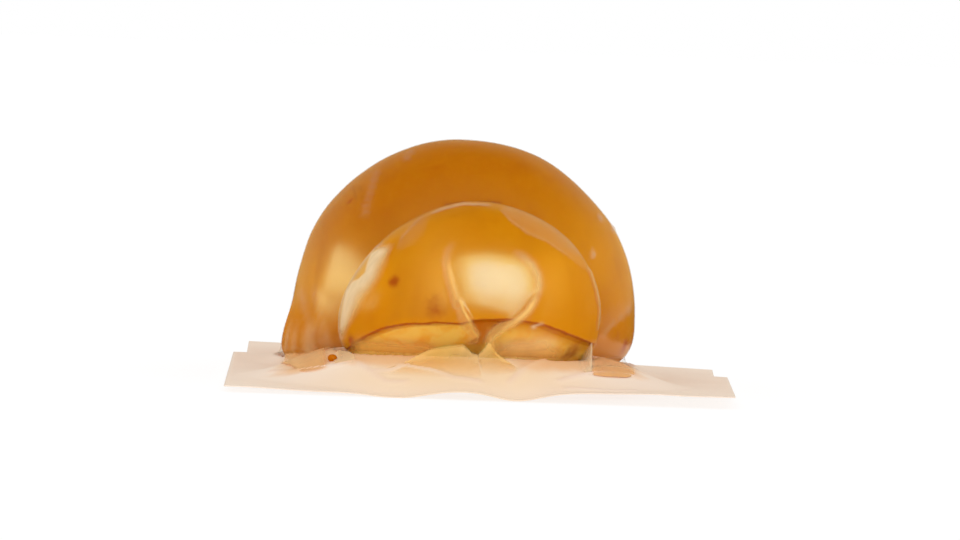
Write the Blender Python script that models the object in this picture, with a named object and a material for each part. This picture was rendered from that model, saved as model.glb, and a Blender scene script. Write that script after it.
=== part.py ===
"""A smoked scamorza sealed in clear film on a flat peach web, lying on its belly.

Metres, +Z up. The small head points to -Y and the round body to +Y. The origin is
under the middle of the pack, on the surface that its flat belly rests on.

Two pieces: the cheese inside its clinging film, one closed form out to the film, and
the web sealed round its foot, a thin sheet that dips under the belly.
"""
import math
from dataclasses import dataclass, replace

import bmesh
import bpy
from mathutils import Matrix, Vector

MM = 0.001

# The sealed web
PACK_LENGTH = 160.0 * MM
FRONT_HALF_WIDTH = 58.4 * MM      # at the front edge
STEP_HALF_WIDTH = 60.7 * MM       # just ahead of the side steps, the widest place
REAR_STEP_HALF_WIDTH = 57.4 * MM  # just behind them
REAR_HALF_WIDTH = 58.5 * MM       # at the back edge
STEP_Y = 36.0 * MM
STEP_LENGTH = 1.2 * MM
WEB_THICKNESS = 0.8 * MM
WEB_COLUMNS = 34
WEB_ROWS = 42
FLANGE_HEIGHT = 2.8 * MM          # mean height of the sealed flange
FLANGE_FALL_RIGHT = 0.5 * MM      # falls to the right, over half the width
FLANGE_TWIST = 1.2 * MM           # front right and back left corners stand up
FRONT_SAGS = (                    # places across, widths and depths at the front edge
    (-36.0 * MM, 13.0 * MM, 0.8 * MM), (-18.5 * MM, 9.0 * MM, 1.7 * MM),
    (8.5 * MM, 7.5 * MM, 1.9 * MM), (37.0 * MM, 9.0 * MM, -0.3 * MM))
SAG_REACH = 16.0 * MM             # how far the sags run back from the front edge
HEAD_SKIRT = (8.7 * MM, 21.0 * MM)   # height at the head's foot, width of the rise
HEAD_SKIRT_SLOPE = 0.02           # it stands higher on the right
BODY_SKIRT = (5.0 * MM, 12.0 * MM)    # the same round the body

# Where the cheese and the web meet
GAP = 0.3 * MM
WEB_CLEARANCE = 1.1 * MM
WEB_FILLET = 3.0 * MM             # how softly the web turns down under the cheese
BELLY_FLAT = WEB_THICKNESS + GAP

# The wrapped cheese
AROUND = 76
ALONG = 50
FRONT_CROWDING = 1.22             # above 1 the rings crowd towards the head's front
NECK_FRONT = -32.0 * MM
NECK_BACK = -6.0 * MM
NECK_Y = -19.0 * MM
NECK_FILLET = 13.0 * MM           # how softly the film bridges the neck
FOOT_POWER = 3.0                  # squareness of the lower half of a section

# The undercut below the head's lip
LIP_HEIGHT = 17.4 * MM
LIP_CROWN_X = 2.0 * MM
LIP_HALF_SPAN = 30.0 * MM
LIP_DROP = 6.3 * MM
LIP_EDGE = 2.2 * MM
UNDERCUT_DEPTH = 2.2 * MM
UNDERCUT_FROM_Y = -40.0 * MM
UNDERCUT_FULL_Y = -50.0 * MM

# Film pleats that run down the head's front and meet at a knot: (x, z) routes
LEFT_PLEAT = ((-9.6, 31.8), (-7.6, 23.3), (-6.2, 19.3), (-3.9, 16.7), (-1.2, 12.8))
RIGHT_PLEAT = ((10.0, 31.3), (14.3, 23.8), (11.9, 19.8), (6.6, 16.1), (1.9, 12.3))
PLEAT_RISE = 1.6 * MM
PLEAT_WIDTH = 2.0 * MM
PLEAT_FRONT_Y = -44.0 * MM

# Folds of film from the knot down to the flange: (x, y) routes
LEFT_FOLD = ((-0.5, -61.0), (-9.0, -63.5), (-16.0, -66.0), (-25.0, -71.0))
RIGHT_FOLD = ((1.5, -61.0), (4.5, -66.0), (8.0, -71.0))
FOLD_RISE = 1.5 * MM
FOLD_WIDTH = 2.2 * MM


@dataclass(frozen=True)
class Lobe:
    """One round part of the cheese, as sections across the Y axis."""
    y: float             # its widest section
    front: float         # from there to its front end
    back: float          # from there to its back end
    x: float             # middle of the section
    half_width: float
    top: float
    bottom: float
    core: float          # height at which its ends close
    left_side: float     # height of the widest point on the left
    right_side: float
    left_power: float    # roundness of the upper left quarter, 2 is an ellipse
    right_power: float
    end_power: float     # bluntness of the ends


BODY = Lobe(y=18.0 * MM, front=42.0 * MM, back=41.0 * MM, x=-5.8 * MM,
            half_width=42.8 * MM, top=57.7 * MM, bottom=-1.4 * MM, core=20.7 * MM,
            left_side=7.7 * MM, right_side=14.7 * MM,
            left_power=1.96, right_power=2.12, end_power=2.1)
HEAD = Lobe(y=-38.0 * MM, front=24.0 * MM, back=25.0 * MM, x=-3.1 * MM,
            half_width=30.6 * MM, top=44.2 * MM, bottom=3.0 * MM, core=22.7 * MM,
            left_side=15.7 * MM, right_side=17.7 * MM,
            left_power=1.72, right_power=2.1, end_power=2.3)


# Where the body's flanks depart from the smooth form: height, reach and depth inward
LEFT_FLANK = ((17.0 * MM, 6.5 * MM, 1.5 * MM), (26.0 * MM, 7.0 * MM, 0.9 * MM),
              (43.0 * MM, 9.0 * MM, -0.95 * MM))
RIGHT_FLANK = ((49.0 * MM, 8.0 * MM, 2.1 * MM),)


def smooth_step(low, high, value):
    t = min(max((value - low) / (high - low), 0.0), 1.0)
    return t * t * (3.0 - 2.0 * t)


def mix(a, b, t):
    return a + (b - a) * t


def smooth_max(a, b, reach):
    """The larger of two values, rounded where they come within reach."""
    if reach <= 0.0:
        return max(a, b)
    h = max(reach - abs(a - b), 0.0) / reach
    return max(a, b) + 0.25 * reach * h * h


def bell(distance, width):
    return math.exp(-(distance / width) ** 2)


def distance_to_route(a, b, route):
    """Distance in millimetres from the point (a, b) to a route of points."""
    here = Vector((a, b))
    best = math.inf
    for start, end in zip(route, route[1:]):
        p = Vector(start)
        run = Vector(end) - p
        t = min(max((here - p).dot(run) / run.length_squared, 0.0), 1.0)
        best = min(best, (here - p - run * t).length)
    return best


def end_scale(lobe, y):
    reach = lobe.front if y < lobe.y else lobe.back
    t = min(abs(y - lobe.y) / reach, 1.0)
    return (1.0 - t ** lobe.end_power) ** (1.0 / lobe.end_power)


@dataclass(frozen=True)
class Section:
    x: float
    half_width: float
    top: float
    bottom: float
    left_side: float
    right_side: float
    left_power: float
    right_power: float
    flanks: float        # how fully the body's flanks show


def section(y, head=HEAD, body=BODY):
    """The cheese's outline at one place along its length."""
    to_body = smooth_step(NECK_FRONT, NECK_BACK, y)
    head_scale = end_scale(head, y)
    body_scale = end_scale(body, y)
    fillet = NECK_FILLET * bell(y - NECK_Y, 0.6 * NECK_FILLET)
    core = mix(head.core, body.core, to_body)
    half_width = smooth_max(head.half_width * head_scale,
                            body.half_width * body_scale, fillet)
    rise = smooth_max((head.top - core) * head_scale,
                      (body.top - core) * body_scale, fillet)
    drop = smooth_max((core - head.bottom) * head_scale,
                      (core - body.bottom) * body_scale, 0.5 * fillet)
    scale = max(head_scale, body_scale)
    left = mix(head.left_side, body.left_side, to_body)
    right = mix(head.right_side, body.right_side, to_body)
    return Section(
        x=mix(head.x, body.x, to_body),
        half_width=half_width,
        top=core + rise,
        bottom=core - drop,
        left_side=mix(core, left, scale),
        right_side=mix(core, right, scale),
        left_power=mix(head.left_power, body.left_power, to_body),
        right_power=mix(head.right_power, body.right_power, to_body),
        flanks=to_body * body_scale,
    )


def section_point(cut, angle):
    """A point (x, z) of a section: 0 is the right side, a quarter turn is the top."""
    across = math.cos(angle)
    up = math.sin(angle)
    on_right = across >= 0.0
    side = cut.right_side if on_right else cut.left_side
    if up >= 0.0:
        power = cut.right_power if on_right else cut.left_power
        height = cut.top - side
    else:
        power = FOOT_POWER
        height = side - cut.bottom
    x = cut.x + math.copysign(abs(across) ** (2.0 / power), across) * cut.half_width
    z = side + math.copysign(abs(up) ** (2.0 / power), up) * height
    flank = RIGHT_FLANK if on_right else LEFT_FLANK
    inward = sum(depth * bell(z - place, reach) for place, reach, depth in flank)
    return x - across * inward * cut.flanks, z


def underside(x, y, clearance):
    """Height of the cheese's underside, grown by a clearance, or None beside it."""
    head = replace(HEAD, front=HEAD.front + clearance,
                   half_width=HEAD.half_width + clearance,
                   bottom=HEAD.bottom - clearance)
    body = replace(BODY, back=BODY.back + clearance,
                   half_width=BODY.half_width + clearance,
                   bottom=BODY.bottom - clearance)
    cut = section(y, head, body)
    across = abs(x - cut.x)
    if across >= cut.half_width:
        return None
    side = cut.right_side if x >= cut.x else cut.left_side
    depth = (1.0 - (across / cut.half_width) ** FOOT_POWER) ** (1.0 / FOOT_POWER)
    return side - (side - cut.bottom) * depth


def lip_height(x):
    """The lip arches across the head's front and drops to both sides."""
    t = abs(x - LIP_CROWN_X) / LIP_HALF_SPAN
    return LIP_HEIGHT - LIP_DROP * t ** 2.6


def undercut(point):
    """Pulls the head's front in below its lip."""
    front = smooth_step(UNDERCUT_FROM_Y, UNDERCUT_FULL_Y, point.y)
    below = smooth_step(0.0, LIP_EDGE, lip_height(point.x) - point.z)
    inward = Vector((HEAD.x - point.x, HEAD.y - point.y, 0.0))
    if inward.length > 0.0:
        point += inward.normalized() * (UNDERCUT_DEPTH * front * below)


def pleat(point):
    """Raises the film along the two pleats down the head's front."""
    if point.y > PLEAT_FRONT_Y:
        return
    nearest = min(distance_to_route(point.x / MM, point.z / MM, route)
                  for route in (LEFT_PLEAT, RIGHT_PLEAT))
    point.y -= PLEAT_RISE * bell(nearest * MM, PLEAT_WIDTH)


def half_width_at(y):
    """The web's half width: it widens to the side steps, then starts again narrower."""
    half_length = 0.5 * PACK_LENGTH
    if y <= STEP_Y:
        t = (y + half_length) / (STEP_Y + half_length)
        return mix(FRONT_HALF_WIDTH, STEP_HALF_WIDTH, t)
    t = (y - STEP_Y) / (half_length - STEP_Y)
    return mix(REAR_STEP_HALF_WIDTH, REAR_HALF_WIDTH, t)


def flange_height(x, y):
    """Top of the sealed flange: a twisted plane with sags at the front edge."""
    across = x / STEP_HALF_WIDTH
    along = y / (0.5 * PACK_LENGTH)
    height = FLANGE_HEIGHT - FLANGE_FALL_RIGHT * across - FLANGE_TWIST * across * along
    from_edge = y + 0.5 * PACK_LENGTH
    for centre, width, depth in FRONT_SAGS:
        height -= depth * bell(x - centre, width) * bell(from_edge, SAG_REACH)
    return height


def skirt_height(x, y, flange):
    """Where the film leaves the cheese it draws the web up round the foot."""
    height = flange
    for lobe, (foot, width) in ((HEAD, HEAD_SKIRT), (BODY, BODY_SKIRT)):
        reach = lobe.front if y < lobe.y else lobe.back
        around = math.hypot((x - lobe.x) / lobe.half_width, (y - lobe.y) / reach)
        outside = (around - 0.92) * min(reach, lobe.half_width)
        if lobe is HEAD:
            foot += HEAD_SKIRT_SLOPE * x
        rise = 1.0 - smooth_step(0.0, width, outside)
        height = max(height, mix(flange, foot, rise))
    return height


def fold_rise(x, y):
    nearest = min(distance_to_route(x / MM, y / MM, route)
                  for route in (LEFT_FOLD, RIGHT_FOLD))
    return FOLD_RISE * bell(nearest * MM, FOLD_WIDTH)


def web_top(x, y):
    height = skirt_height(x, y, flange_height(x, y)) + fold_rise(x, y)
    under = underside(x, y, WEB_CLEARANCE)
    if under is not None:
        height = -smooth_max(-height, -under, WEB_FILLET)
    return max(height, WEB_THICKNESS)


def principled(name, colour, roughness, metallic=0.0):
    material = bpy.data.materials.new(name)
    material.use_nodes = True
    shader = material.node_tree.nodes["Principled BSDF"]
    shader.inputs["Base Color"].default_value = (*colour, 1.0)
    shader.inputs["Roughness"].default_value = roughness
    shader.inputs["Metallic"].default_value = metallic
    material.diffuse_color = (*colour, 1.0)
    return material


def add_object(name, shape, material):
    mesh = bpy.data.meshes.new(name)
    shape.to_mesh(mesh)
    shape.free()
    mesh.shade_smooth()
    mesh.materials.append(material)
    piece = bpy.data.objects.new(name, mesh)
    bpy.context.scene.collection.objects.link(piece)
    return piece


def make_wrapped_cheese():
    """A ball with its poles along Y, every ring of which becomes a section."""
    shape = bmesh.new()
    bmesh.ops.create_uvsphere(shape, u_segments=AROUND, v_segments=ALONG, radius=1.0)
    bmesh.ops.rotate(shape, verts=shape.verts, cent=(0.0, 0.0, 0.0),
                     matrix=Matrix.Rotation(math.radians(90.0), 3, "X"))
    front = HEAD.y - HEAD.front
    back = BODY.y + BODY.back
    for vert in shape.verts:
        along = math.acos(min(max(-vert.co.y, -1.0), 1.0)) / math.pi
        along = along ** FRONT_CROWDING
        y = mix(front, back, 0.5 - 0.5 * math.cos(math.pi * along))
        x, z = section_point(section(y), math.atan2(vert.co.z, vert.co.x))
        point = Vector((x, y, z))
        undercut(point)
        pleat(point)
        point.z = max(point.z, BELLY_FLAT)
        vert.co = point
    bmesh.ops.recalc_face_normals(shape, faces=shape.faces)
    amber = principled("smoked_cheese_in_film", (0.60, 0.25, 0.03), 0.35)
    return add_object("wrapped_cheese", shape, amber)


def make_base_web():
    """A grid cut across at the side steps, shaped, and given its thickness."""
    shape = bmesh.new()
    bmesh.ops.create_grid(shape, x_segments=WEB_COLUMNS, y_segments=WEB_ROWS, size=0.5)
    for vert in shape.verts:
        vert.co.y *= PACK_LENGTH
    for y in (STEP_Y, STEP_Y + STEP_LENGTH):
        bmesh.ops.bisect_plane(shape, geom=shape.verts[:] + shape.edges[:] + shape.faces[:],
                               dist=0.01 * MM, plane_co=(0.0, y, 0.0),
                               plane_no=(0.0, 1.0, 0.0))
    for vert in shape.verts:
        y = vert.co.y
        x = 2.0 * vert.co.x * half_width_at(y)
        vert.co = Vector((x, y, web_top(x, y)))
    under = bmesh.ops.extrude_face_region(shape, geom=shape.faces[:])
    for item in under["geom"]:
        if isinstance(item, bmesh.types.BMVert):
            item.co.z -= WEB_THICKNESS
    bmesh.ops.recalc_face_normals(shape, faces=shape.faces)
    peach = principled("peach_web", (0.86, 0.68, 0.53), 0.5)
    return add_object("base_web", shape, peach)


def main():
    for item in list(bpy.data.objects):
        bpy.data.objects.remove(item, do_unlink=True)
    make_wrapped_cheese()
    make_base_web()


main()
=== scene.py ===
"""Looks of a smoked scamorza sealed in clear film: the rind, the film with its pleats
and folds, and the peach web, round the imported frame. Metres, +Z up, head towards -Y."""

import math
from dataclasses import dataclass, replace
from functools import cache

import bmesh
import bpy
from mathutils import Matrix, Quaternion, Vector, noise
from mathutils.bvhtree import BVHTree


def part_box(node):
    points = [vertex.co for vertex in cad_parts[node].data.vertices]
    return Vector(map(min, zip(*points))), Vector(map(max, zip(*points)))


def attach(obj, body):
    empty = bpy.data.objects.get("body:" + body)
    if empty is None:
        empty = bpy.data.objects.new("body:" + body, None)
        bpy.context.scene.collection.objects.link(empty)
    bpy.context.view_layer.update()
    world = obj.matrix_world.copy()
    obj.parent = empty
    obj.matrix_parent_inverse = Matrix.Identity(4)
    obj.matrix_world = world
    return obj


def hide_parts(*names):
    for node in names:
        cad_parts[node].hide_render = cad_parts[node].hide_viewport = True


MM = 0.001


def in_mm(*rows):
    return tuple(tuple(value * MM for value in row) for row in rows)


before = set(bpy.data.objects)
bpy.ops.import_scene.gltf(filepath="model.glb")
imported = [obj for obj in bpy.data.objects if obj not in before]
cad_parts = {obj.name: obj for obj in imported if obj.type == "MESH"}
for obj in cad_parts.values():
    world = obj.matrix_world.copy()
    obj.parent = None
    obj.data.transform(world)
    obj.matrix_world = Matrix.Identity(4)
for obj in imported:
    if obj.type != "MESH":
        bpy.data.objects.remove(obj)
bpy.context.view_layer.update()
WEB_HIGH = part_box("base_web")[1]
CHEESE_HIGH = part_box("wrapped_cheese")[1]

# The sealed web, from the frame where it gives the size
HALF_LENGTH = WEB_HIGH.y
STEP_HALF_WIDTH = WEB_HIGH.x
FRONT_HALF_WIDTH = 58.4 * MM
REAR_STEP_HALF_WIDTH = 57.4 * MM
REAR_HALF_WIDTH = 58.5 * MM
STEP_Y = 36 * MM
STEP_LENGTH = 1.2 * MM
FRAME_WEB_THICKNESS = 0.8 * MM
FILM_PAIR = 0.25 * MM  # the two sealed films together
FLANGE_HEIGHT = 2.8 * MM
FLANGE_FALL_RIGHT = 0.5 * MM
FLANGE_TWIST = 1.2 * MM
# Sags at the web's front edge: places across, widths and depths
FRONT_SAGS = in_mm((-36, 13, 0.8), (-18.5, 9, 1.7), (8.5, 7.5, 1.9), (37, 9, -0.3))
SAG_REACH = 16 * MM
# How high the web is drawn up round the head and the body, and how far out
HEAD_SKIRT, BODY_SKIRT = in_mm((8.95, 21), (5, 12))
WEB_CLEARANCE = 0.9 * MM
WEB_FILLET = 3 * MM
WEB_COLUMNS = 150
WEB_ROWS = 200

# The cheese and its film
NECK_FRONT = -32 * MM
NECK_BACK = -6 * MM
NECK_Y = -19 * MM
FILM_NECK_FILLET = 13 * MM
CHEESE_NECK_FILLET = 5 * MM
FOOT_POWER = 3
CHEESE_INSET = 0.10 * MM
CHEESE_BELLY = FILM_PAIR + 0.15 * MM
CHEESE_AROUND = 288
CHEESE_ALONG = 220
FILM_AROUND = 200
FILM_ALONG = 150
FILM_THICKNESS = 0.08 * MM
FILM_STANDOFF = 0.12 * MM
FRONT_CROWDING = 1.2
FOOT_HEIGHT = 6.9 * MM  # where the film leaves the cheese, at y = 0
FOOT_SLOPE = -0.04  # it stands higher under the head
FLARE = ((0.4 * MM, 0.5), (0.9 * MM, 0.15), (1.4 * MM, 0))  # reach, share of height left
FLARE_GAP = 0.12 * MM
FLAT_SHINE = 0.06  # gloss left where the film lies slack on the web

# The undercut below the head's lip
LIP = ((-34, 7), (-30.3, 10.1), (-28.8, 11.8), (-24.7, 14.2), (-22, 15.3),
       (-17.8, 16.2), (-10.2, 16.8), (-4.4, 16.9), (-2.6, 17.6), (1.6, 18), (7.8, 18.2),
       (14.6, 17.1), (18.3, 15.8), (22.4, 14.1), (25.8, 12.6), (29, 10.5))  # (x, z), mm
UNDERCUT_FROM_Y = -40 * MM
UNDERCUT_FULL_Y = -50 * MM


@dataclass(frozen=True)
class Lobe:
    """One round part of the cheese, as sections across the Y axis."""
    y: float
    front: float
    back: float
    x: float
    half_width: float
    top: float
    bottom: float
    core: float
    left_side: float
    right_side: float
    left_power: float
    right_power: float
    end_power: float


BODY = Lobe(y=18 * MM, front=42 * MM, back=CHEESE_HIGH.y - 18 * MM, x=-5.8 * MM,
            half_width=42.8 * MM, top=CHEESE_HIGH.z, bottom=-1.4 * MM, core=20.7 * MM,
            left_side=7.7 * MM, right_side=14.7 * MM,
            left_power=1.96, right_power=2.12, end_power=2.1)
HEAD = Lobe(y=-38 * MM, front=24 * MM, back=25 * MM, x=-3.1 * MM,
            half_width=30.6 * MM, top=44.2 * MM, bottom=3 * MM, core=22.7 * MM,
            left_side=15.7 * MM, right_side=17.7 * MM,
            left_power=1.72, right_power=2.1, end_power=2.3)


# Where the body's flanks depart from the smooth form: height, reach and depth inward
LEFT_FLANK = in_mm((17, 6.5, 1.5), (26, 7, 0.9), (43, 9, -0.95))
RIGHT_FLANK = in_mm((49, 8, 2.1))


def inset(lobe, by):
    return replace(lobe, front=lobe.front - by, back=lobe.back - by,
                   half_width=lobe.half_width - by, top=lobe.top - by,
                   bottom=lobe.bottom + by)


CHEESE_HEAD = replace(inset(HEAD, CHEESE_INSET), back=23 * MM)
CHEESE_BODY = replace(inset(BODY, CHEESE_INSET), front=40 * MM)


@dataclass(frozen=True)
class Crease:
    """A fold of film along a route of (x, z) points in millimetres, seen from -Y.

    Walking along the route, near is the side on the left hand. A veil is the milky look
    of the lifted film on one side of it.
    """
    route: tuple
    rise: float  # how far it stands out, mm
    near: float  # how wide it is on either side, mm
    far: float
    haze: float  # how milky the doubled film looks
    line: float  # width of the milky line along its crest, mm
    veil: float = 0
    veil_near: bool = True
    veil_reach: float = 3  # mm
    pale: float = 0.2  # how white its milkiness is
    fades: tuple = (0.5, 0.5)  # lengths over which it starts and ends, mm


RIGHT_PLEAT = ((3, 34.6), (6, 33.8), (8.9, 32.5), (11.2, 30.6), (12.6, 28.4), (13, 26),
               (12.6, 24), (11.7, 22.3), (10.4, 20.2), (8.9, 18.7), (7.1, 17.3))
HEAD_CREASES = (
    Crease(((-6.6, 36.2), (-7.3, 35.1), (-8.6, 32.7), (-8.9, 30.4), (-8.4, 28.3),
            (-7.8, 26), (-7, 23.6), (-6.2, 21.3), (-5.4, 19.6)),
           0.12, 0.9, 1.1, 0.25, 0.7, pale=0, fades=(10, 2)),
    Crease(((-6.3, 23.5), (-5.5, 21.6), (-4.4, 19.8), (-3, 17.7), (-1.9, 16.1),
            (-0.5, 14.2), (-0.9, 12.6), (-2.6, 12.1), (-4.2, 12.7)),
           0.9, 0.6, 1.7, 0.48, 0.45, 0.16, False, 3, 0.15, fades=(7, 3)),
    Crease(RIGHT_PLEAT[1:8], 0, 1, 1, 0.36, 0.8, fades=(7, 3)),
    Crease(((13.1, 25.8), (12.6, 24), (11.7, 22.3), (10.4, 20.2), (8.9, 18.7),
            (7.1, 17.3), (4.3, 15.7), (2.6, 14.3), (1.9, 12.8), (3, 11), (4.9, 9.2)),
           0.9, 1.6, 0.8, 0.58, 0.75, fades=(5, 4)),
    # The next three creases are milky film at the head's foot, made milkier as painted light
    # to lighten the shade below the lip and along the foot.
    Crease(((3, 10.2), (12, 11.2), (18.6, 13.2)), 0, 1, 1, 0.6, 1.8, pale=0.32, fades=(5, 6)),
    Crease(((2, 9.6), (12, 10), (20, 10.2)), 0, 1, 1, 0.7, 1.2, pale=0.15, fades=(3, 5)),
    Crease(((-31, 9.7), (-20, 9.7), (-9, 9.6)), 0, 1, 1, 0.78, 1.5, pale=0.05, fades=(3, 5)),
    # The next four creases follow the head's rim: their milky lines are painted highlights of
    # the rim.
    Crease(((-13.2, 41), (-10.2, 42.3), (-5.6, 43.6), (1.5, 43.6)),
           0.15, 0.5, 0.5, 0.2, 0.22, fades=(2, 2)),
    Crease(((-12.6, 41.3), (-15, 40.1), (-17.2, 37.9), (-19.2, 35.5), (-20.4, 32)),
           0.15, 1.5, 0.8, 0.08, 0.3, 0.02, True, 4, 0, fades=(5, 5)),
    Crease(((3, 43.4), (5.8, 40.4), (9.8, 37.9), (14.3, 36.2), (19, 33.1), (24.6, 29)),
           0.18, 1.2, 0.8, 0.1, 0.3, 0.04, True, 6, 0, fades=(3, 4)),
    Crease(((22.6, 31), (24.6, 29), (26.2, 24.8), (27.2, 20.4), (26.8, 14.5)),
           0.4, 0.6, 0.6, 0.22, 0.35, fades=(3, 3)),
)
BODY_CREASES = (
    Crease(((-26, 50.5), (-26.7, 49.1), (-27.6, 45), (-28.4, 41.5), (-29, 37.9)),
           0.15, 0.8, 0.8, 0.04, 0.6, pale=0.6, fades=(2, 2)),
    Crease(((-18.3, 54.8), (-20, 52)), 0.1, 0.6, 0.6, 0.05, 0.5, pale=0.6),
    Crease(((-44, 21.5), (-42.7, 17.1), (-41.4, 13.6), (-40.8, 9.5)),
           0.3, 0.9, 0.9, 0.05, 0.7, pale=0.6, fades=(3, 0.5)),
    Crease(((-40.7, 22.5), (-39.8, 18.5), (-38.2, 14.4), (-37.3, 9)),
           0.3, 0.7, 0.7, 0.05, 0.5, pale=0.6, fades=(3, 0.5)),
    Crease(((36.9, 19.6), (34.1, 17.6), (31.2, 15.6), (29.3, 13.5), (28, 10.8)),
           0.45, 0.9, 1.6, 0.1, 0.6, 0.02, False, 4, fades=(3, 3)),
    Crease(((26.6, 41), (28.4, 39.4)), 0.25, 0.5, 0.5, 0.15, 0.4, pale=0.8),
    Crease(((30.4, 37.9), (31.8, 36.2)), 0.35, 0.6, 0.6, 0.18, 0.4, pale=0.8),
    Crease(((25.2, 32.4), (26.2, 31.3)), 0.1, 0.5, 0.5, 0.4, 0.42, pale=1),
)
# Milky film lifted down the head's left edge, its milkiness partly a painted reflection of the
# light from the left: its outline, and where it fades out, (x, z)
BAND_OUTLINE = ((-22.6, 34.2), (-24.5, 32.9), (-26.5, 31.3), (-27.2, 29.4), (-27.6, 27.2),
                (-29, 25.7), (-30.5, 24.9), (-32, 22.5), (-32.5, 20.2), (-33, 16.9),
                (-33.2, 13.5), (-32.8, 10.5))
BAND_FADE = ((-21, 33.8), (-21.8, 31.4), (-22.1, 29.4), (-23.3, 26.2), (-25, 23),
             (-26.4, 20.8), (-28, 18), (-29.6, 15.7), (-30.8, 13.8), (-31.4, 11))
BAND_HAZE_AND_REFLECTION = 0.70
BAND_PALE = 0.70
BAND_MARGIN = 0.45  # milkiness outside its outline, where it is orange
HEAD_CREASE_SPAN = (-37 * MM, -42 * MM)  # they begin and are full here along y
BODY_CREASE_SPAN = (-26 * MM, 16 * MM)
BUBBLE = (-5.7, 21, 0.9)  # place (x, z) and radius, mm

# The dark recess between the two pleats, where the rind is painted with shade: its left and
# right edges, (x, z)
TENT_TOP = 29 * MM  # the film between the pleats leaves the cheese here
TENT_RISE = 0.4 * MM
TENT_DEPTH = 11 * MM
RECESS_LEFT = ((-6, 24), (-4.2, 18.9), (-2.6, 16.6), (-0.7, 13.9), (-2.6, 12.6),
               (-4, 11.2), (-4, 9.5), (-3.6, 6))
RECESS_RIGHT = ((16, 26), (12.9, 23.4), (6.3, 16.8), (2.2, 13.3), (1.3, 11.3),
                (0, 9), (-0.8, 6))


def smooth_step(low, high, value):
    t = min(max((value - low) / (high - low), 0), 1)
    return t * t * (3 - 2 * t)


def step_mm(low, high, value):
    """As smooth_step, for a value in metres between two ends in millimetres."""
    return smooth_step(low, high, value / MM)


def mix(a, b, t):
    return a + (b - a) * t


def smooth_max(a, b, reach):
    if reach <= 0:
        return max(a, b)
    h = max(reach - abs(a - b), 0) / reach
    return max(a, b) + 0.25 * reach * h * h


def bell(distance, width):
    return math.exp(-(distance / width) ** 2)


def along_route(a, b, route):
    """Distance from the point (a, b) to a route, above 0 on its left, and how far along."""
    best = math.inf
    side = 1
    along = 0
    walked = 0
    for (a0, b0), (a1, b1) in zip(route, route[1:]):
        run_a = a1 - a0
        run_b = b1 - b0
        length = math.hypot(run_a, run_b)
        t = ((a - a0) * run_a + (b - b0) * run_b) / (length * length)
        t = min(max(t, 0), 1)
        away = math.hypot(a - a0 - run_a * t, b - b0 - run_b * t)
        if away < best:
            best = away
            side = math.copysign(1, run_a * (b - b0) - run_b * (a - a0))
            along = walked + length * t
        walked += length
    return best * side, along, walked


def from_route(a, b, route):
    return along_route(a, b, route)[0]


def beside(point, route):
    """As from_route, for a point in metres and a route of (x, z) in millimetres."""
    return from_route(point.x / MM, point.z / MM, route)


def ripple(point, size, seed):
    """Smooth unevenness between -1 and 1, with lumps of about this size."""
    return noise.noise(point / size + Vector((seed, 2.3 * seed, -seed)))


# ---------------------------------------------------------------- forms

def end_scale(lobe, y):
    reach = lobe.front if y < lobe.y else lobe.back
    t = min(abs(y - lobe.y) / reach, 1)
    return (1 - t ** lobe.end_power) ** (1 / lobe.end_power)


@dataclass(frozen=True)
class Section:
    x: float
    half_width: float
    top: float
    bottom: float
    left_side: float
    right_side: float
    left_power: float
    right_power: float
    flanks: float  # how fully the body's flanks show


def section(y, head, body, neck_fillet):
    """The outline at one place along the length."""
    to_body = smooth_step(NECK_FRONT, NECK_BACK, y)
    head_scale = end_scale(head, y)
    body_scale = end_scale(body, y)
    fillet = neck_fillet * bell(y - NECK_Y, 0.6 * FILM_NECK_FILLET)
    core = mix(head.core, body.core, to_body)
    half_width = smooth_max(head.half_width * head_scale,
                            body.half_width * body_scale, fillet)
    rise = smooth_max((head.top - core) * head_scale,
                      (body.top - core) * body_scale, fillet)
    drop = smooth_max((core - head.bottom) * head_scale,
                      (core - body.bottom) * body_scale, 0.5 * fillet)
    scale = max(head_scale, body_scale)
    x, left, right, left_power, right_power = (
        mix(getattr(head, name), getattr(body, name), to_body)
        for name in ("x", "left_side", "right_side", "left_power", "right_power"))
    return Section(x=x, half_width=half_width, top=core + rise, bottom=core - drop,
                   left_side=mix(core, left, scale), right_side=mix(core, right, scale),
                   left_power=left_power, right_power=right_power, flanks=to_body * body_scale)


def section_point(cut, angle):
    """A point (x, z) of a section: 0 is the right side, a quarter turn is the top."""
    across = math.cos(angle)
    up = math.sin(angle)
    on_right = across >= 0
    side = cut.right_side if on_right else cut.left_side
    if up >= 0:
        power = cut.right_power if on_right else cut.left_power
        height = cut.top - side
    else:
        power = FOOT_POWER
        height = side - cut.bottom
    x = cut.x + math.copysign(abs(across) ** (2 / power), across) * cut.half_width
    z = side + math.copysign(abs(up) ** (2 / power), up) * height
    flank = RIGHT_FLANK if on_right else LEFT_FLANK
    inward = sum(depth * bell(z - place, reach) for place, reach, depth in flank)
    return x - across * inward * cut.flanks, z


def lip_height(x):
    place = min(max(x / MM, LIP[0][0]), LIP[-1][0])
    for (x0, z0), (x1, z1) in zip(LIP, LIP[1:]):
        if place <= x1:
            return mix(z0, z1, (place - x0) / (x1 - x0)) * MM
    return LIP[-1][1] * MM


def below_lip(point, edge):
    """1 on the head's front below the lip, 0 above it and on the sides."""
    front = smooth_step(UNDERCUT_FROM_Y, UNDERCUT_FULL_Y, point.y)
    return front * smooth_step(0, edge, lip_height(point.x) - point.z)


def towards_core(point):
    direction = Vector((HEAD.x - point.x, HEAD.y - point.y, 0))
    return direction.normalized() if direction.length > 0 else direction


def cut_under(point, depth, edge):
    return point + towards_core(point) * (depth * below_lip(point, edge))


def in_recess(point):
    """1 in the recess between the pleats, 0 outside it."""
    right_of = -beside(point, RECESS_LEFT[::-1])
    left_of = beside(point, RECESS_RIGHT[::-1])
    below = step_mm(0.3, -0.5, point.z - lip_height(point.x))
    return below * smooth_step(-0.2, 0.7, min(right_of, left_of))


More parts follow.
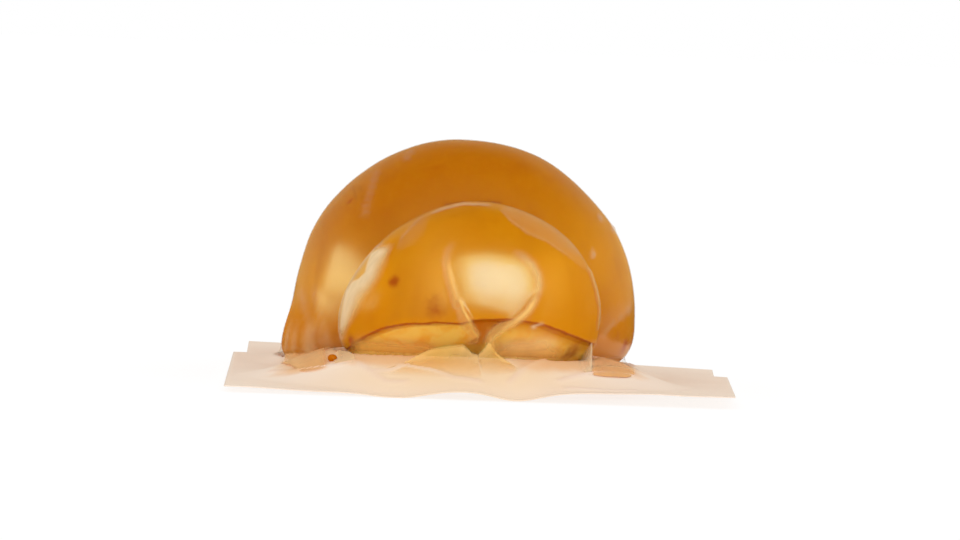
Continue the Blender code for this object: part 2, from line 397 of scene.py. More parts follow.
LUMPS = ((0.26, 17 * MM, 1), (0.07, 6 * MM, 2))  # height in mm, size and seed
MIDDLE_Y = -10 * MM
MIDDLE_Z = 22 * MM


def lumps(point):
    """The unevenness of the cheese, which the film in contact follows."""
    outward = Vector((point.x - HEAD.x, 0.3 * (point.y - MIDDLE_Y), point.z - MIDDLE_Z))
    height = sum(most * ripple(point, size, seed) for most, size, seed in LUMPS)
    return outward.normalized() * (height * MM)


def grid(columns, rows, size=0.5):
    shape = bmesh.new()
    bmesh.ops.create_grid(shape, x_segments=columns, y_segments=rows, size=size)
    return shape


def layers(shape, *names):
    """New numbers for every vertex, which the materials read by name."""
    return [shape.verts.layers.float.new(name) for name in names]


def ball(around, along):
    """A ball with its poles along Y, the small head's pole first."""
    shape = bmesh.new()
    bmesh.ops.create_uvsphere(shape, u_segments=around, v_segments=along, radius=1)
    bmesh.ops.rotate(shape, verts=shape.verts, cent=(0, 0, 0),
                     matrix=Matrix.Rotation(math.radians(90), 3, "X"))
    return shape


def lay_sections(shape, head, body, neck_fillet):
    """Turns every ring of the ball into a section."""
    front = head.y - head.front
    back = body.y + body.back
    cuts = {}
    for vert in shape.verts:
        along = math.acos(min(max(-vert.co.y, -1), 1)) / math.pi
        ring = round(along, 5)
        if ring not in cuts:
            y = mix(front, back, 0.5 - 0.5 * math.cos(math.pi * along ** FRONT_CROWDING))
            cuts[ring] = (y, section(y, head, body, neck_fillet))
        y, cut = cuts[ring]
        x, z = section_point(cut, math.atan2(vert.co.z, vert.co.x))
        vert.co = Vector((x, y, z))


# ---------------------------------------------------------------- materials

def new_material(name):
    material = bpy.data.materials.new(name)
    material.use_nodes = True
    tree = material.node_tree
    return material, tree, tree.nodes["Principled BSDF"]


def node(tree, kind, **settings):
    made = tree.nodes.new(kind)
    for key, value in settings.items():
        setattr(made, key, value)
    return made


def put(tree, value, socket):
    """Links an output to an input, or sets the input to a plain value."""
    if isinstance(value, bpy.types.NodeSocket):
        tree.links.new(value, socket)
    else:
        socket.default_value = value


def feed(tree, target, **values):
    """Puts values into the named inputs of a node, spaces written as underscores."""
    for key, value in values.items():
        put(tree, value, target.inputs[key.replace("_", " ")])
    return target


def mix_colour(tree, factor, a, b):
    made = node(tree, "ShaderNodeMix", data_type="RGBA")
    put(tree, factor, made.inputs[0])
    for index, colour in ((6, a), (7, b)):
        put(tree, (*colour, 1) if isinstance(colour, tuple) else colour, made.inputs[index])
    return made.outputs[2]


def math_node(tree, operation, a, b=0, c=0, clamp=False):
    made = node(tree, "ShaderNodeMath", operation=operation, use_clamp=clamp)
    for socket, value in zip(made.inputs, (a, b, c)):
        put(tree, value, socket)
    return made.outputs[0]


def attribute(tree, name):
    return node(tree, "ShaderNodeAttribute", attribute_name=name).outputs["Fac"]


def noise_value(tree, size, detail=3, stretch=(1, 1, 1), distortion=0):
    """Noise on object coordinates, with lumps of about this size in metres."""
    where = node(tree, "ShaderNodeTexCoord").outputs["Object"]
    mapping = feed(tree, node(tree, "ShaderNodeMapping"), Vector=where, Scale=stretch)
    made = feed(tree, node(tree, "ShaderNodeTexNoise"), Vector=mapping.outputs[0],
                Scale=1 / size, Detail=detail, Distortion=distortion)
    return made.outputs["Fac"]


def ramp(tree, value, low, high):
    made = node(tree, "ShaderNodeMapRange", interpolation_type="SMOOTHSTEP")
    feed(tree, made, Value=value, From_Min=low, From_Max=high)
    return made.outputs["Result"]


def tint(tree, colour, name, share, to):
    """Shifts a colour where the named attribute says."""
    return mix_colour(tree, math_node(tree, "MULTIPLY", attribute(tree, name), share),
                      colour, to)


def patches(tree, colour, value, low, high, share, to):
    """Shifts a colour by up to this share where a value rises from low to high."""
    return mix_colour(tree, math_node(tree, "MULTIPLY", ramp(tree, value, low, high), share),
                      colour, to)


def uneven(tree, name, noise_fac, amount, clamp=False):
    """The named attribute, moved by noise up or down by half this amount."""
    shift = math_node(tree, "MULTIPLY_ADD", noise_fac, amount, -0.5 * amount)
    return math_node(tree, "ADD", attribute(tree, name), shift, clamp=clamp)


# Colours of the rind, from brown and gold to its marks, and to painted light and shade
RIND_BROWN = (0.545, 0.162, 0.0012)
RIND_GOLD = (0.705, 0.262, 0.0010)
RIND_STREAK = (0.50, 0.135, 0.0006)
RIND_GRAIN = (0.80, 0.35, 0.01)
RIND_PAINTED_SHEEN = (0.82, 0.35, 0.025)
# Below the lip the rind is paler and randomly mottled, lightened as painted light for the
# light bounced up into the shaded undercut.
UNDER_PALE = (1, 0.60, 0.085)
UNDER_ORANGE = (0.95, 0.43, 0.018)
PAINTED_LIGHT_WEDGE_COLOUR = (1, 0.66, 0.20)
RECESS_SHADE_COLOUR = (0.57, 0.135, 0.0005)
LIP_SHADE_COLOUR = (0.52, 0.125, 0.001)
SPOT_COLOUR = (0.42, 0.062, 0.0006)
DARK_LINE_COLOUR = (0.30, 0.060, 0.001)
FLECK_COLOUR = (0.95, 0.74, 0.48)


@cache
def rind_material():
    material, tree, shader = new_material("smoked_rind")
    broad = noise_value(tree, 20 * MM, detail=2, distortion=0.4)
    blotches = noise_value(tree, 4.5 * MM, detail=4, distortion=0.8)
    streaks = noise_value(tree, 7 * MM, detail=4, stretch=(1, 1, 0.35))
    fine = noise_value(tree, 1.6 * MM, detail=4)
    ticks = noise_value(tree, 0.9 * MM, detail=2, stretch=(1, 1, 0.12))
    # The rind's tone: random smoke mottling on top of painted shade that darkens the body's
    # top, bottom and lower left.
    tone_and_shade = uneven(tree, "tone_and_shade", broad, 1.2, clamp=True)
    colour = mix_colour(tree, tone_and_shade, RIND_BROWN, RIND_GOLD)
    colour = patches(tree, colour, streaks, 0.52, 0.75, 0.35, RIND_STREAK)
    colour = patches(tree, colour, fine, 0.45, 0.7, 0.08, RIND_GRAIN)
    # painted sheen: the rind is lighter beside the pleats
    colour = tint(tree, colour, "glow", 0.9, RIND_PAINTED_SHEEN)
    # painted light below the lip, with random mottling
    mottled = mix_colour(tree, ramp(tree, blotches, 0.42, 0.62), UNDER_PALE, UNDER_ORANGE)
    colour = mix_colour(tree, attribute(tree, "under"), colour, mottled)
    # painted light on the flank below the lip
    colour = tint(tree, colour, "painted_light_wedge", 0.9, PAINTED_LIGHT_WEDGE_COLOUR)
    # painted shade in the recess between the pleats
    colour = tint(tree, colour, "recess", 0.9, RECESS_SHADE_COLOUR)
    # painted shade: a thin dark line along the crease of the lip
    colour = patches(tree, colour, uneven(tree, "lip_shade_line", ticks, 1.3), 0.3, 0.9, 1,
                     LIP_SHADE_COLOUR)
    colour = patches(tree, colour, uneven(tree, "spot", fine, 0.5), 0.2, 0.9, 0.9, SPOT_COLOUR)
    # dark lines; the one behind the head's top is painted shade in the crevice there
    colour = tint(tree, colour, "dark_line", 0.7, DARK_LINE_COLOUR)
    colour = tint(tree, colour, "fleck", 0.9, FLECK_COLOUR)
    bump = feed(tree, node(tree, "ShaderNodeBump"), Strength=0.25, Distance=0.3 * MM,
                Height=fine)
    feed(tree, shader, Base_Color=colour, Normal=bump.outputs[0], Roughness=0.5,
         Specular_IOR_Level=0, Subsurface_Weight=0.15, Subsurface_Radius=(1, 0.4, 0.1),
         Subsurface_Scale=1.5 * MM, Coat_Weight=0.1, Coat_Roughness=0.16)
    return material


FILM_CLEAR = 0.04  # share that clear film mirrors when seen straight on
FILM_SLANT = 0.25  # and what a slant adds to it
MILK_ORANGE = (1, 0.57, 0.09)  # milky film close to the rind
MILK_PALE = (0.98, 0.81, 0.56)  # and lifted from it
MILK_AMBER = (0.96, 0.53, 0.21)  # and tinted amber
MIRROR_WHITE = (0.98, 0.98, 0.98)


@cache
def film_material():
    """Mirrors a little, more at a slant, and is milky where it is creased or lifted."""
    material, tree, shader = new_material("clear_film")
    facing = feed(tree, node(tree, "ShaderNodeLayerWeight"), Blend=0.5)
    slant = math_node(tree, "POWER", facing.outputs["Facing"], 5)
    gloss = math_node(tree, "MULTIPLY", attribute(tree, "shine"),
                      math_node(tree, "MULTIPLY_ADD", slant, FILM_SLANT, FILM_CLEAR))
    streaks = noise_value(tree, 2.5 * MM, detail=3, stretch=(1, 1, 0.5))
    haze = math_node(tree, "MULTIPLY", attribute(tree, "haze"),
                     math_node(tree, "MULTIPLY_ADD", streaks, 0.4, 0.8))
    alpha = math_node(tree, "ADD", haze, gloss, clamp=True)
    mirror = math_node(tree, "DIVIDE", gloss, alpha, clamp=True)
    milk = mix_colour(tree, attribute(tree, "pale"), MILK_ORANGE, MILK_PALE)
    milk = mix_colour(tree, attribute(tree, "amber_tint"), milk, MILK_AMBER)
    feed(tree, shader, Base_Color=mix_colour(tree, mirror, milk, MIRROR_WHITE), Alpha=alpha,
         Metallic=mirror, Roughness=0.26, Specular_IOR_Level=0.1)
    return material


WEB_PEACH = (0.97, 0.81, 0.68)
WEB_SHADE = (0.95, 0.785, 0.655)
WEB_WARM = (0.90, 0.65, 0.385)
WEB_FOLD_SHADE = (0.78, 0.50, 0.46)
WEB_STAIN = (0.86, 0.50, 0.24)


def web_material():
    material, tree, shader = new_material("peach_web")
    broad = noise_value(tree, 30 * MM, detail=2)
    colour = mix_colour(tree, ramp(tree, broad, 0.35, 0.7), WEB_PEACH, WEB_SHADE)
    colour = mix_colour(tree, attribute(tree, "warm"), colour, WEB_WARM)
    # painted shade along the web's folds
    colour = tint(tree, colour, "fold", 0.22, WEB_FOLD_SHADE)
    stain = uneven(tree, "stain", noise_value(tree, 4 * MM), 0.5)
    colour = patches(tree, colour, stain, 0.1, 0.9, 0.9, WEB_STAIN)
    feed(tree, shader, Base_Color=colour, Roughness=0.5, Specular_IOR_Level=0.12)
    return material


# ---------------------------------------------------------------- pieces

def add_object(name, data):
    made = bpy.data.objects.new(name, data)
    bpy.context.scene.collection.objects.link(made)
    return made


def add_mesh(name, shape, material):
    mesh = bpy.data.meshes.new(name)
    shape.to_mesh(mesh)
    shape.free()
    mesh.shade_smooth()
    mesh.materials.append(material)
    return add_object(name, mesh)


def add_piece(name, shape, material):
    bmesh.ops.recalc_face_normals(shape, faces=shape.faces)
    piece = add_mesh(name, shape, material)
    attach(piece, "root")
    return piece


SPOTS = (  # place and radius in millimetres, and how dark
    ((-20.9, -57.2, 25.7), 1.8, 0.9), ((-10.9, -61.6, 20), 4, 0.6),
    ((21.4, -48.7, 11.2), 3.2, 1), ((-29.6, -49, 10.8), 2.3, 1),
    ((-32.7, 1.1, 42.2), 1.4, 0.8), ((34.7, 5.6, 9.3), 2.6, 0.9),
    ((-12.3, -4.9, 51.5), 1.6, 0.5), ((-31.4, -10.4, 33.3), 1.2, 0.5),
    ((33.8, -1, 12), 2.2, 0.7), ((-29.5, -9, 42.5), 1, 0.5),
    ((-19.9, -3.2, 49.8), 1.2, 0.5),
)


def spots_at(point, spots):
    """How strongly the nearest of these spots shows at a point."""
    return max(strength * bell((point / MM - Vector(place)).length, radius)
               for place, radius, strength in spots)


DARK_LINES = (  # dark lines, the first painted shade in the crevice behind the head's top: (x, z) route in millimetres, between two places along y, and how dark
    # painted shade in the crevice between the head's top and the body
    (((-9.6, 42.7), (-5.7, 43.2), (0.9, 43.6), (3.4, 43.4)), -20 * MM, -2 * MM, 1),
    (((-33.2, 46.6), (-31.9, 44.8), (-31.2, 42.8)), -12 * MM, 10 * MM, 0.4),
    (((-30.9, 46.6), (-29.8, 44.2), (-29.6, 41.6)), -12 * MM, 10 * MM, 0.3),
)
DARK_LINE_WIDTH = 0.32
FLECKS = (((13.7, -58.9, 16.5), 0.7, 1), ((8.4, -61.7, 16.6), 0.8, 1))  # as SPOTS


def dark_line_darkness(point, width=DARK_LINE_WIDTH):
    dark = 0
    for route, front, back, strength in DARK_LINES:
        if front < point.y < back:
            dark = max(dark, strength * bell(beside(point, route), width))
    return dark


GOLD_HEIGHT = 27  # the body's rind is lightest here in the middle and painted darker above and below, as painted shade for light from the front, mm
GOLD_TILT = 0.2  # and higher than that towards the right
GOLD_ABOVE = 12  # how far the gold reaches up and down, mm
GOLD_BELOW = 18
HEAD_TONE = 0.75


def rind_tone_and_shade(point):
    """1 where the rind is light and golden, 0 where it is browner: painted shade that darkens
    the body's top, bottom and lower left as if lit from the front.
    """
    x = point.x / MM
    z = point.z / MM
    middle = GOLD_HEIGHT + GOLD_TILT * x
    side = bell(z - middle, GOLD_ABOVE if z > middle else GOLD_BELOW)
    side *= 1 - 0.8 * smooth_step(24, 12, z) * smooth_step(-15, -30, x)
    return mix(side, HEAD_TONE, step_mm(-26, -40, point.y))


PAINTED_LIGHT_WEDGE = ((6, 10.4), (12, 11.2), (18, 12.2))  # painted light: the flank below the lip on the right, painted paler where it lies in shade, (x, z)


PAINTED_SHEENS = ((-10, 27.5, 6, 1), (16.5, 27, 5, 0.6))  # painted sheen beside the pleats: x, z, reach in mm, strength


def painted_pleat_sheen(point):
    """1 beside the pleats, where the rind is painted lighter as a painted sheen."""
    return max(strength * bell(math.hypot(point.x / MM - x, 0.7 * (point.z / MM - z)), reach)
               for x, z, reach, strength in PAINTED_SHEENS)


def on_fine_line(middle):
    """Near the lip or a dark line, where the rind's colour changes within a millimetre."""
    if middle.y < -40 * MM and abs(middle.z - lip_height(middle.x)) < 1.8 * MM:
        return True
    return dark_line_darkness(middle, 1.5) > 0.3


LIP_WAVER = 0.3 * MM
LIP_LINE_WIDTH = 0.32 * MM
LIP_LINE_DROP = 0.2 * MM
UNDERCUT_DEPTH = 2.6 * MM  # in the middle, below the lip
UNDERCUT_END_DEPTH = 1 * MM
PAINTED_LIGHT_WEDGE_WIDTH = 2  # mm
RIND_LAYERS = ("tone_and_shade", "glow", "under", "painted_light_wedge", "recess", "lip_shade_line", "spot", "dark_line", "fleck")


def make_cheese():
    """Makes the cheese and returns its surface, for the film to lie on."""
    shape = ball(CHEESE_AROUND, CHEESE_ALONG)
    lay_sections(shape, CHEESE_HEAD, CHEESE_BODY, CHEESE_NECK_FILLET)
    refine(shape, on_fine_line, 2)
    tone_and_shade, glow, under_painted_light, painted_light_wedge, recess, lip_shade_line, spot, dark_line, fleck = layers(shape, *RIND_LAYERS)
    for vert in shape.verts:
        point = vert.co.copy()
        above_lip = point.z - lip_height(point.x) - LIP_WAVER * ripple(point, 3 * MM, 4)
        front = step_mm(-38, -44, point.y)
        under = below_lip(point, mix(1.2, 4.6, step_mm(0, 8, point.x)) * MM)
        # painted shade by height and side
        vert[tone_and_shade] = rind_tone_and_shade(point)
        # painted sheen beside the pleats
        vert[glow] = front * painted_pleat_sheen(point)
        # painted light below the lip
        vert[under_painted_light] = under
        # painted light on the flank below the lip
        vert[painted_light_wedge] = under * bell(beside(point, PAINTED_LIGHT_WEDGE), PAINTED_LIGHT_WEDGE_WIDTH)
        # painted shade in the recess between the pleats
        vert[recess] = front * mix(0.4, 1, step_mm(9.5, 14, point.z)) * in_recess(point)
        # painted shade along the crease of the lip
        vert[lip_shade_line] = front * bell(above_lip + LIP_LINE_DROP, LIP_LINE_WIDTH)
        vert[spot] = spots_at(point, SPOTS)
        vert[dark_line] = dark_line_darkness(point)
        vert[fleck] = spots_at(point, FLECKS)
        at_ends = max(step_mm(-20, -32, point.x), step_mm(18, 29, point.x))
        depth = mix(UNDERCUT_DEPTH, UNDERCUT_END_DEPTH, at_ends)
        point = cut_under(point + lumps(point), depth, 1 * MM)
        point.z = max(point.z, CHEESE_BELLY)
        vert.co = point
    bmesh.ops.recalc_face_normals(shape, faces=shape.faces)
    tree = BVHTree.FromBMesh(shape)
    piece = add_piece("smoked_cheese", shape, rind_material())
    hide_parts("wrapped_cheese")
    return tree


def only(kind, grown):
    """The edges or vertices that an operator made."""
    return [item for item in grown["geom"] if isinstance(item, kind)]


def flare_direction(point):
    """Outward and level, away from the nearer lobe."""
    ways = [Vector((point.x - lobe.x, point.y - lobe.y, 0)).normalized()
            for lobe in (HEAD, BODY)]
    return ways[0].lerp(ways[1], smooth_step(NECK_FRONT, NECK_BACK, point.y)).normalized()


def flare_foot(shape, haze, shine):
    """Runs the film's cut foot out on to the web, where its look fades out."""
    rim = [edge for edge in shape.edges if edge.is_boundary]
    start = {}
    for reach, share in FLARE:
        grown = bmesh.ops.extrude_edge_only(shape, edges=rim)
        verts = only(bmesh.types.BMVert, grown)
        rim = [edge for edge in only(bmesh.types.BMEdge, grown) if edge.is_boundary]
        for vert in verts:
            old = min((edge.other_vert(vert) for edge in vert.link_edges
                       if edge.other_vert(vert) not in verts), key=lambda v: v.index)
            root = start.get(old, old.co.copy())
            start[vert] = root
            place = root + flare_direction(root) * reach
            ground = web_height(place.x, place.y) + FLARE_GAP
            place.z = ground + max(root.z - ground, 0) * share
            vert.co = place
            vert[haze] *= share
            vert[shine] *= share * share


def cut_plane(shape, place, normal, **options):
    """Cuts all faces along a plane."""
    everything = shape.verts[:] + shape.edges[:] + shape.faces[:]
    bmesh.ops.bisect_plane(shape, geom=everything, dist=0.01 * MM, plane_co=place,
                           plane_no=normal, **options)


def refine(shape, wanted, cuts):
    """Finer faces where wanted says so of a face's middle."""
    faces = [face for face in shape.faces if wanted(face.calc_center_median())]
    edges = list({edge for face in faces for edge in face.edges})
    bmesh.ops.subdivide_edges(shape, edges=edges, cuts=cuts, use_grid_fill=True)


STREAK_SIZE = 4 * MM
STREAK_HAZE = 0.13
STREAK_SWING = 0.22


def foot_streaks(point):
    """Milkiness in upright streaks, where the body's film runs down to the web."""
    body = step_mm(-34, -24, point.y) * step_mm(14, 7, point.z)
    streak = noise.noise(Vector((point.x / STREAK_SIZE, point.y / STREAK_SIZE, 4)))
    on_left = smooth_step(0, -20 * MM, point.x)
    return body * mix(0.25, 1, on_left) * max(STREAK_HAZE + STREAK_SWING * streak, 0)


def slack_side(point):
    """1 on the head's left side, where the film lies dull against the rind."""
    return step_mm(-19.5, -23, point.x) * step_mm(-43, -47, point.y)


def wet_flank(point):
    """1 low on the body's left flank, where the film clings wet and dull."""
    low = step_mm(20, 14, point.z)
    left = step_mm(-15, -25, point.x)
    return low * left * step_mm(-28, -20, point.y)


CREASE_REACH = 8  # no crease shows further away than this, mm
DULL_WIDTH = 2.2  # the film beside a raised crease is dull this far, mm


def crease_effect(point, creases):
    """How far the film rises at a point, and how milky, pale and dull it is there."""
    rise = 0
    dull = 0
    milky = 0
    veil = 0
    shares = 1e-6
    pale = 0
    for crease in creases:
        away, along, length = along_route(point.x / MM, point.z / MM, crease.route)
        if abs(away) > CREASE_REACH:
            continue
        start, end = crease.fades
        ends = smooth_step(0, start, along) * smooth_step(0, end, length - along)
        on_near = away > 0
        width = crease.near if on_near else crease.far
        rise = max(rise, ends * crease.rise * bell(away, width))
        dull = max(dull, ends * smooth_step(0.2, 0.7, crease.rise) * bell(away, DULL_WIDTH))
        line = ends * crease.haze * bell(away, crease.line)
        cover = 0
        if on_near == crease.veil_near:
            reach = crease.veil_reach * mix(0.3, 1, ends)
            fade = smooth_step(reach, 0.35 * reach, abs(away))
            cover = min(2 * ends, 1) * crease.veil * fade
        milky = max(milky, line)
        veil = max(veil, cover)
        shares += line + cover
        pale += (line + cover) * crease.pale
    return rise * MM, max(milky, veil), pale / shares, dull


def bubble_ring(point):
    """Milkiness of the small bubble's rim, beside the left pleat."""
    x, z, radius = BUBBLE
    return 0.3 * bell(math.hypot(point.x / MM - x, point.z / MM - z) - radius, 0.3)


def between_pleats(point):
    """1 between the two pleats on the head's front, above the lip."""
    inside = step_mm(-8.5, -4.5, point.x) * step_mm(14.5, 10.5, point.x)
    return inside * step_mm(15, 18, point.z)


def left_band_haze_and_reflection(point):
    """How milky and how pale the film is that is lifted down the head's left edge, its
    milkiness partly a painted reflection of the light from the left.
    """
    if point.x > BAND_FADE[0][0] * MM:
        return 0, 0
    inside = beside(point, BAND_OUTLINE)
    left_over = max(-beside(point, BAND_FADE), 0)
    share = left_over / max(inside + left_over, 0.01)
    ends = step_mm(34.4, 31.8, point.z) * step_mm(10.5, 15, point.z)
    within = smooth_step(-0.1, 0.3, inside)
    milky = mix(BAND_MARGIN, BAND_HAZE_AND_REFLECTION * smooth_step(0, 0.75, share), within)
    return ends * milky, BAND_PALE * within


def outside_pleat(point):
    """1 to the right of the right pleat, where the film's gloss ends."""
    beyond = smooth_step(0.2, 1.2, beside(point, RIGHT_PLEAT))
    return beyond * step_mm(35, 31.5, point.z)


FILM_UNDERCUT = 0.4 * MM  # how far the film follows the undercut
RECESS_DEPTH = 2.5 * MM  # and the recess between the pleats


def shape_film(point, normal):
    """The film's place, milkiness, paleness and dullness, from its smooth form."""
    if BODY_CREASE_SPAN[0] < point.y < BODY_CREASE_SPAN[1]:
        rise, milky, pale, _ = crease_effect(point, BODY_CREASES)
        return point + normal * rise, milky, pale, 0
    front = smooth_step(HEAD_CREASE_SPAN[0], HEAD_CREASE_SPAN[1], point.y)
    if front == 0:
        return point, 0, 0, 0
    rise, milky, pale, dull = crease_effect(point, HEAD_CREASES)
    # the left band: lifted milky film, partly a painted reflection
    band, band_pale = left_band_haze_and_reflection(point)
    milky = max(milky, band, bubble_ring(point))
    pale = mix(pale, band_pale, band / BAND_HAZE_AND_REFLECTION)
    near_lip = bell(point.z - lip_height(point.x), 1.5 * MM)
    recess = in_recess(point)
    dull = max(dull, recess, 0.8 * near_lip, 0.7 * below_lip(point, 2 * MM),
               0.9 * outside_pleat(point))
    rise *= 1 - recess
    low = min(max((TENT_TOP - point.z) / TENT_DEPTH, 0), 1)
    depth = mix(FILM_UNDERCUT, RECESS_DEPTH, recess)
    place = cut_under(point, depth, mix(2.2, 1, recess) * MM)
    place.y -= TENT_RISE * low * low * between_pleats(point)
    return place + normal * (rise * front), milky * front, pale, dull * front


AIR_HAZE = 0.03  # milkiness of film that bridges over air
STREAK_PALE = 0.45
DULL_SHINE = 0.2  # gloss left where the film is dull


def make_film(cheese_tree):
    shape = ball(FILM_AROUND, FILM_ALONG)
    lay_sections(shape, HEAD, BODY, FILM_NECK_FILLET)
    cut_plane(shape, (0, 0, FOOT_HEIGHT), (0, -FOOT_SLOPE, 1), clear_inner=True)
    refine(shape, lambda middle: middle.y < -41 * MM, 1)
    haze, paleness, shine = layers(shape, "haze", "pale", "shine")
    bmesh.ops.recalc_face_normals(shape, faces=shape.faces)
    shape.normal_update()
    for vert in shape.verts:
        point, milky, pale, dull = shape_film(vert.co.copy(), vert.normal.copy())
        point += lumps(point)
        nearest, normal, _, _ = cheese_tree.find_nearest(point)
        standoff = (point - nearest).dot(normal)
        if standoff < FILM_STANDOFF:
            point = nearest + normal * FILM_STANDOFF
            standoff = FILM_STANDOFF
        lift = step_mm(0.6, 3.5, standoff)
        low = foot_streaks(point)
        vert[haze] = min(milky + AIR_HAZE * lift + low, 1)
        vert[paleness] = max(pale, smooth_step(0, 0.1, low) * STREAK_PALE)
        vert[shine] = mix(1, DULL_SHINE, max(slack_side(point), wet_flank(point), dull))
        vert.co = point
    flare_foot(shape, haze, shine)
    return add_film("clear_film", shape)


def add_film(name, shape):
    piece = add_piece(name, shape, film_material())
    wall = piece.modifiers.new("wall", "SOLIDIFY")
    wall.thickness = FILM_THICKNESS
    wall.offset = 1
    return piece


# Loose folds of film round the foot, each a sheet between an upper and a lower route.
# Points are (x, y, z) in millimetres.

@dataclass(frozen=True)
class Sheet:
    name: str
    top: tuple
    bottom: tuple
    columns: int
    rows: int
    flutter: float  # height of its small folds
    haze_top: float
    haze_bottom: float
    pale: float
    pale_ends: float
    bulge: float = 0  # how far its middle stands towards -Y
    amber_tint: float = 0  # how amber it is tinted
    ragged: float = 0  # how uneven its outline is
    height: float = 0  # how far its middle stands up
    soft_start: float = 0.02  # shares of its width and height over which its look fades
    soft_end: float = 0.02
    soft_top: float = 0.02


SHEETS = (
    Sheet("left_fan",
          ((-25, -66.4, 5.2), (-22.6, -65.9, 5.6), (-19.3, -65, 6.5), (-16.5, -64.3, 8.1),
           (-13.7, -63.8, 9.8), (-11.1, -63.4, 11), (-8.1, -63, 11.7), (-5.2, -62.7, 12.1),
           (-4.2, -62.6, 12.2), (-3.2, -62.8, 11.4), (-2.2, -63.4, 10.4), (-0.6, -63.6, 9.9)),
          ((-25, -67.5, 4.8), (-20, -68.8, 4.3), (-15, -70, 4.2), (-9, -71.8, 4),
           (-3, -72.4, 4), (0.6, -71.6, 4.3)),
          130, 30, 0.05, 0.56, 0, pale=0.12, pale_ends=0.4, bulge=-0.6, soft_start=0.34,
          soft_top=0.14),
    Sheet("right_fan",
          ((-0.8, -63.4, 9.9), (0.4, -63, 11.2), (1.3, -62.5, 12.5), (1.9, -62.3, 12.9),
           (2.4, -62.4, 12), (3.3, -62.7, 10.6), (5.2, -63.2, 9.2), (6.8, -64.2, 8.2),
           (8.6, -66, 6.9)),
          ((0.4, -70, 4.9), (3, -70, 5), (6, -69, 5.4), (9, -67.4, 6)),
          70, 30, 0.05, 0.54, 0, pale=0.12, pale_ends=0.3, bulge=-0.6, soft_end=0.15,
          soft_top=0.14),
    Sheet("left_fin",
          ((-33.2, -43.5, 6), (-32.5, -46, 6), (-30.6, -51.2, 6), (-29, -56.7, 6)),
          ((-34.2, -57, 4), (-32.2, -59.4, 4), (-30.6, -59.8, 4), (-29, -60, 4)),
          30, 30, 0.25, 0.5, 0.5, pale=0.7, pale_ends=0.7, ragged=0.25),
    Sheet("right_fin",
          ((22.8, -48.5, 9), (24.2, -46.4, 10.6), (25.4, -45.2, 12.8), (25.9, -44.6, 13.2)),
          ((22.4, -59.6, 5), (24, -61.4, 5), (25.3, -61.8, 5), (25.9, -61.2, 5)),
          24, 50, 0.25, 0.26, 0.52, pale=0.85, pale_ends=0.85, ragged=0.6,
          soft_start=0.5),
    Sheet("right_drape",
          ((25.8, -43, 5), (28.5, -36, 5), (31.5, -28, 5), (34.8, -19, 5),
           (38, -10, 5)),
          ((25.8, -56.5, 4), (28, -54, 4), (31.5, -49, 4), (34.8, -44.5, 4),
           (38, -36, 4)),
          50, 40, 0.06, 0.45, 0.35, pale=0.3, pale_ends=0.3, amber_tint=0.9, ragged=0.3,
          soft_start=0.15, soft_end=0.7, soft_top=0.4),
    Sheet("right_roll",
          ((25.6, -55.7, 5), (27.7, -53.1, 5), (31.3, -48.2, 5), (34.4, -44.2, 5),
           (36.2, -43, 5)),
          ((25.6, -61.4, 4), (28.8, -59.7, 4), (32.4, -57, 4), (34.8, -53.4, 4),
           (36.2, -48, 4)),
          50, 30, 0.05, 0.35, 0.66, pale=0.3, pale_ends=0.3, amber_tint=0.9, ragged=0.3,
          height=0.2, soft_start=0.05, soft_end=0.15, soft_top=0.25),
    Sheet("left_crumple",
          ((-47.4, 1, 5.2), (-45.8, -2.5, 5.6), (-43.3, -7, 6), (-39.6, -12, 6.2),
           (-34, -26, 6.6)),
          ((-47.6, -30, 3), (-45.2, -46, 3), (-43, -53.6, 3), (-39.5, -59, 3),
           (-34, -60.5, 3)),
          60, 60, 0.22, 0.5, 0.6, pale=0.5, pale_ends=0.3, amber_tint=0.8, ragged=0.5,
          height=0.2, soft_start=0.12, soft_end=0.15, soft_top=0.15),
)
SHEET_GAP = 0.16 * MM  # they lie this far above the web or more


def on_route(route, t):
    """A point at share t of a smooth curve through a route's points."""
    last = len(route) - 1
    place = min(max(t, 0), 1) * last
    i = min(int(place), last - 1)
    f = place - i
    a, b = Vector(route[i]), Vector(route[i + 1])
    before = Vector(route[i - 1]) if i > 0 else a * 2 - b
    after = Vector(route[i + 2]) if i + 2 <= last else b * 2 - a
    return 0.5 * (2 * a + (b - before) * f + (2 * before - 5 * a + 4 * b - after) * f * f
                  + (3 * a - before - 3 * b + after) * f ** 3)


